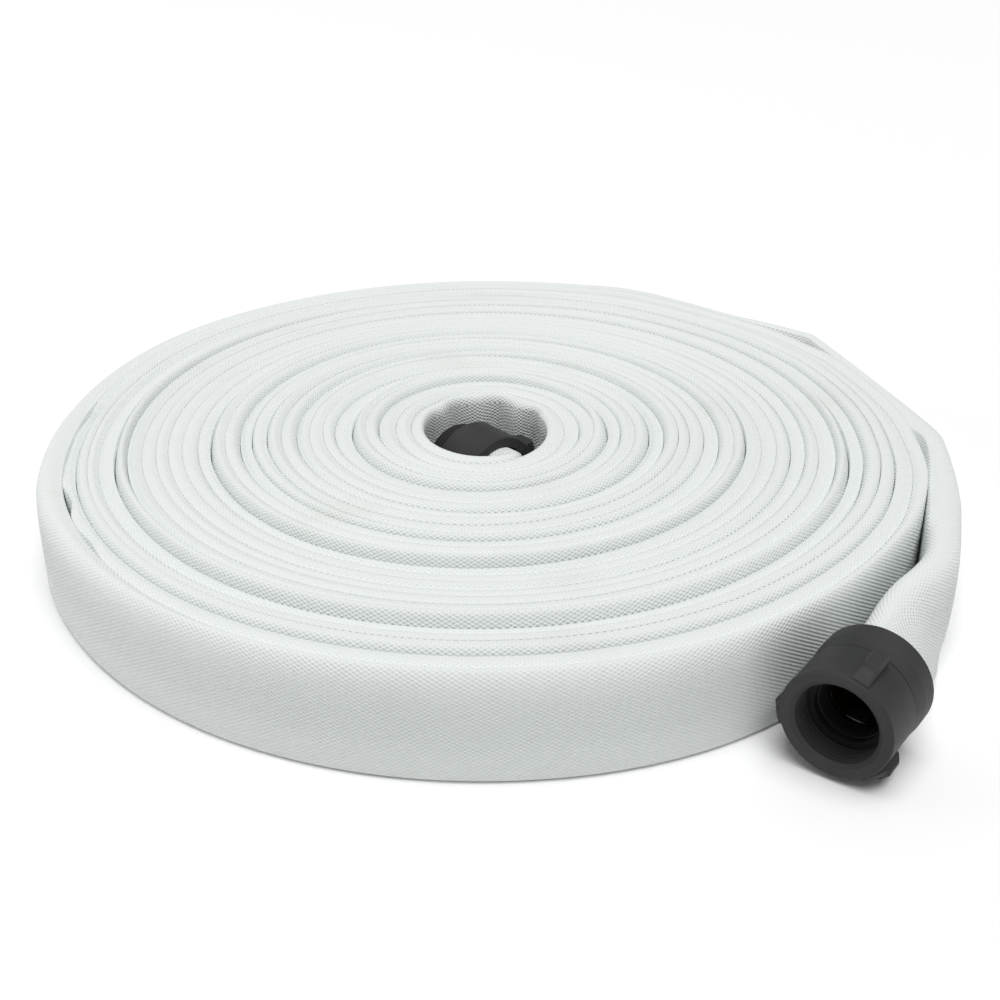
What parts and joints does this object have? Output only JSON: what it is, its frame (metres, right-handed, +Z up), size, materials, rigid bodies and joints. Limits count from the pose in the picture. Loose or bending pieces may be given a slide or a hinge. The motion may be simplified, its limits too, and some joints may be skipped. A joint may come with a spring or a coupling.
{
  "type": "rolled fire hose",
  "caption": "Flat-rolled double-jacket fire hose with a swivel coupling at its outer end and a male coupling in the eye.",
  "frame": {"origin": "middle of the part's footprint, on the surface that the roll lies on", "axes": "+Z up along the roll's axis, which stands at (-0.0042, 0.0078) m; -Y is the side that the swivel coupling's mouth is on"},
  "size_m": [0.6101, 0.6206, 0.0747],
  "materials": {
    "outer_jacket": "woven polyester, white with a faint cool tint",
    "inner_jacket": "woven polyester, natural",
    "rubber_lining": "smooth matt",
    "black_coupling": "hard-anodised, satin black",
    "steel": "bright",
    "brass": "plain",
    "gasket_rubber": "matt"
  },
  "bodies": {
    "hose": {"outer_jacket_roll": "outer_jacket", "outer_jacket_tail": "outer_jacket", "outer_jacket_inner_end": "outer_jacket", "inner_jacket_tail": "inner_jacket", "inner_jacket_inner_end": "inner_jacket", "liner_tail": "rubber_lining", "liner_inner_end": "rubber_lining", "female_tailpiece": "black_coupling", "male_coupling": "black_coupling", "female_expansion_ring": "brass", "male_expansion_ring": "brass", "female_tail_gasket": "gasket_rubber", "male_tail_gasket": "gasket_rubber"},
    "swivel": {"swivel_nut": "black_coupling", "swivel_balls": "steel", "ball_port_plug": "steel", "swivel_gasket": "gasket_rubber"}
  },
  "joints": [
    {"name": "swivel_spin", "type": "hinge", "parent": "hose", "child": "swivel", "pos_m": [0.18732, -0.27809, 0.036], "axis": [-0.591, -0.8067, 0], "continuous": true}
  ]
}
